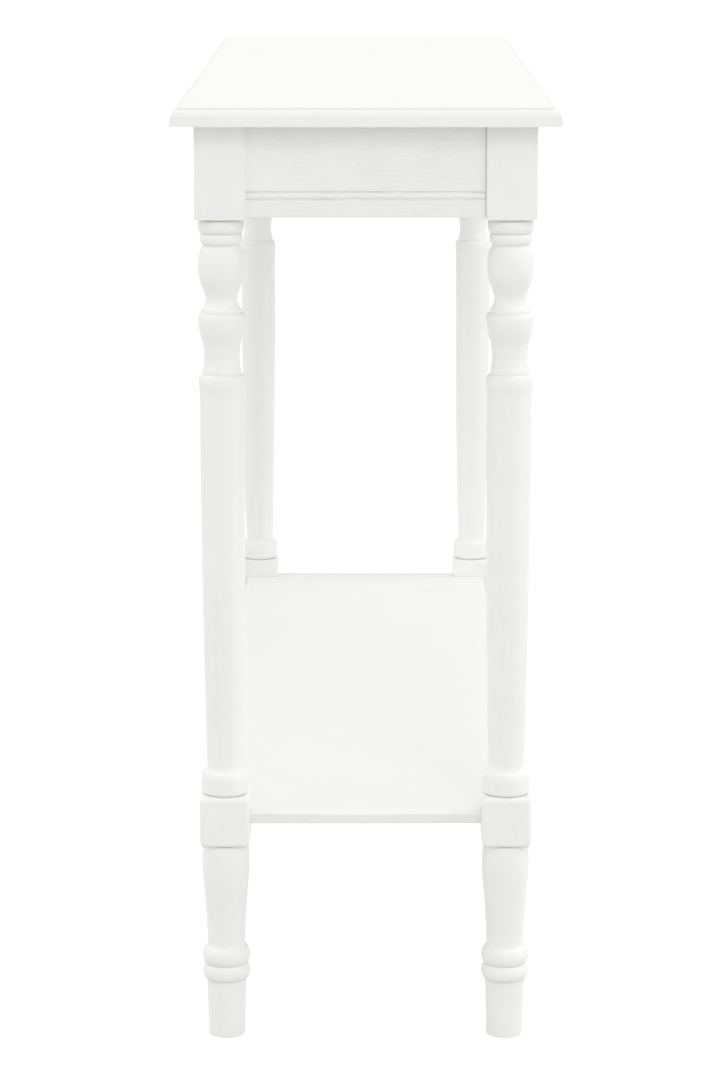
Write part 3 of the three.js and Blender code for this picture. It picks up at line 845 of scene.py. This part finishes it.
def makeCornerBlock(corner, number):
    # keeps the drilled block of the frame and eases its long edges
    node = "corner_block_" + corner
    bm = bmesh.new()
    bm.from_mesh(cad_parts[node].data)
    bmesh.ops.remove_doubles(bm, verts=bm.verts, dist=0.000002)
    bmesh.ops.dissolve_limit(bm, angle_limit=math.radians(1), verts=bm.verts, edges=bm.edges)
    long = [e for e in bm.edges if e.calc_length() > 0.015 and len(e.link_faces) == 2]
    roundEdges(bm, long, jointShape["blockEase"] * mm, 3)
    return finishPiece(node + "_sawn", bm, [blockWoods[number % 2]], [node], smoothAngle=32,
                       flatOver=100)


def makeJoint(corner, number):
    s = jointShape
    makeCornerBlock(corner, number)
    makeWasher(corner)
    makeNut(corner)
    makeHangerBolt(corner)
    tip, head = Vector(s["apronTip"]), Vector(s["apronHead"])
    makeScrew("apron_screw_a", corner, tip, head)
    makeScrew("apron_screw_b", corner, tip.yxz, head.yxz)
    makeScrew("top_screw", corner, Vector(s["topTip"]), Vector(s["topHead"]))
    low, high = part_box("upper_stud_" + corner)
    makeStud("upper_stud", corner, low.z / mm, high.z / mm)
    low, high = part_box("lower_stud_" + corner)
    makeStud("lower_stud", corner, low.z / mm, high.z / mm)


print("top and aprons")
makeTop()
makeApron("long_apron_front", 1, -1, paintLongApron)
makeApron("long_apron_back", 1, 1, paintLongApron)
makeApron("end_apron_left", 0, -1, paintEndApron)
makeApron("end_apron_right", 0, 1, paintEndApron, looseEnd=True)

print("legs")
for corner in cornerNames:
    makePost(corner)
    makeColumn(corner)
    makeBlock(corner)
    makeFoot(corner)

print("shelf")
makeShelf()

print("corner joints")
for number, corner in enumerate(cornerNames):
    makeJoint(corner, number)


studio = {
    "floorHalf": 45.0,
    "floorTone": (0.95, 0.95, 0.95),
    "floorGlow": 0.23,
    "floorDrop": 0.0001,
    "skyHigh": (0.875, 0.873, 0.868),
    "skyLow": (0.645, 0.647, 0.64),
    "horizonBlend": 0.12,
    "cameraPlace": (3.378, -0.0010, 1.0125),
    "cameraAim": (0.0, -0.0050, 0.334),
    "lens": 115.9,
}


def makeFloor():
    bm = bmesh.new()
    bmesh.ops.create_grid(bm, x_segments=2, y_segments=2, size=studio["floorHalf"])
    bmesh.ops.translate(bm, vec=(0, 0, -studio["floorDrop"]), verts=bm.verts)
    mesh = bpy.data.meshes.new("studioFloor")
    bm.to_mesh(mesh)
    bm.free()
    mat, nodes, links, shader = newMaterial("studioFloor")
    tone = studio["floorTone"]
    soft = noise(nodes, links, stretched(nodes, links, (1, 1, 1)), 1.5, 2)
    slightly = tuple(c * 0.997 for c in tone)
    links.new(mixColours(nodes, links, soft, tone, slightly), shader.inputs["Base Color"])
    shader.inputs["Roughness"].default_value = 0.9
    shader.inputs["Specular IOR Level"].default_value = 0.2
    shader.inputs["Emission Color"].default_value = (1, 1, 1, 1)
    shader.inputs["Emission Strength"].default_value = studio["floorGlow"]
    mesh.materials.append(mat)
    floor = bpy.data.objects.new("studioFloor", mesh)
    bpy.context.scene.collection.objects.link(floor)
    floor.visible_diffuse = False          # the sky's lower half gives the light from below instead


def makeSky():
    world = bpy.data.worlds.new("studioSky")
    world.use_nodes = True
    nodes, links = world.node_tree.nodes, world.node_tree.links
    way = nodes.new("ShaderNodeTexCoord")
    split = nodes.new("ShaderNodeSeparateXYZ")
    links.new(way.outputs["Generated"], split.inputs["Vector"])
    blend = studio["horizonBlend"]
    height = remap(nodes, links, split.outputs["Z"], -blend, blend, 0, 1)
    sky = nodes["Background"]
    links.new(mixColours(nodes, links, height, studio["skyLow"], studio["skyHigh"]), sky.inputs["Color"])
    sky.inputs["Strength"].default_value = 1.0
    bpy.context.scene.world = world


softBoxes = {
    # place, aim, size, power, colour
    "key": ((5.0, 1.5, 4.3), (0.2, 0.0, 0.5), 1.7, 40, (1.0, 1.0, 1.0)),
    "front": ((16.0, 1.2, 1.0), (-0.2, 0.0, 0.4), 6.0, 80, (0.97, 0.99, 1.0)),
    "sideRight": ((3.2, 6.5, 0.8), (-0.2, 0.0, 0.4), 3.5, 84, (0.99, 1.0, 0.94)),
    "sideLeft": ((3.2, -6.5, 0.8), (-0.2, 0.0, 0.4), 3.5, 72, (0.99, 1.0, 0.94)),
    "highRight": ((-0.9, 3.5, 4.2), (-0.4, 0.0, 0.4), 2.0, 40, (1.0, 1.0, 0.97)),
    "highLeft": ((-0.9, -3.5, 4.2), (-0.4, 0.0, 0.4), 2.0, 29, (1.0, 1.0, 0.97)),
}


def makeSoftBoxes():
    for name, (place, aim, size, power, colour) in softBoxes.items():
        light = bpy.data.lights.new(name + "Softbox", "AREA")
        light.shape = "SQUARE"
        light.size = size
        light.energy = power
        light.color = colour
        box = bpy.data.objects.new(name + "Softbox", light)
        box.location = place
        box.rotation_euler = (Vector(aim) - box.location).to_track_quat("-Z", "Y").to_euler()
        bpy.context.scene.collection.objects.link(box)


def makeCamera():
    data = bpy.data.cameras.new("endView")
    data.lens = studio["lens"]
    data.sensor_width = 36
    data.clip_end = 200
    camera = bpy.data.objects.new("endView", data)
    camera.location = studio["cameraPlace"]
    aim = Vector(studio["cameraAim"]) - camera.location
    camera.rotation_euler = aim.to_track_quat("-Z", "Y").to_euler()
    bpy.context.scene.collection.objects.link(camera)
    bpy.context.scene.camera = camera


print("studio")
makeFloor()
makeSky()
makeSoftBoxes()
makeCamera()
bpy.context.scene.view_settings.view_transform = "Standard"
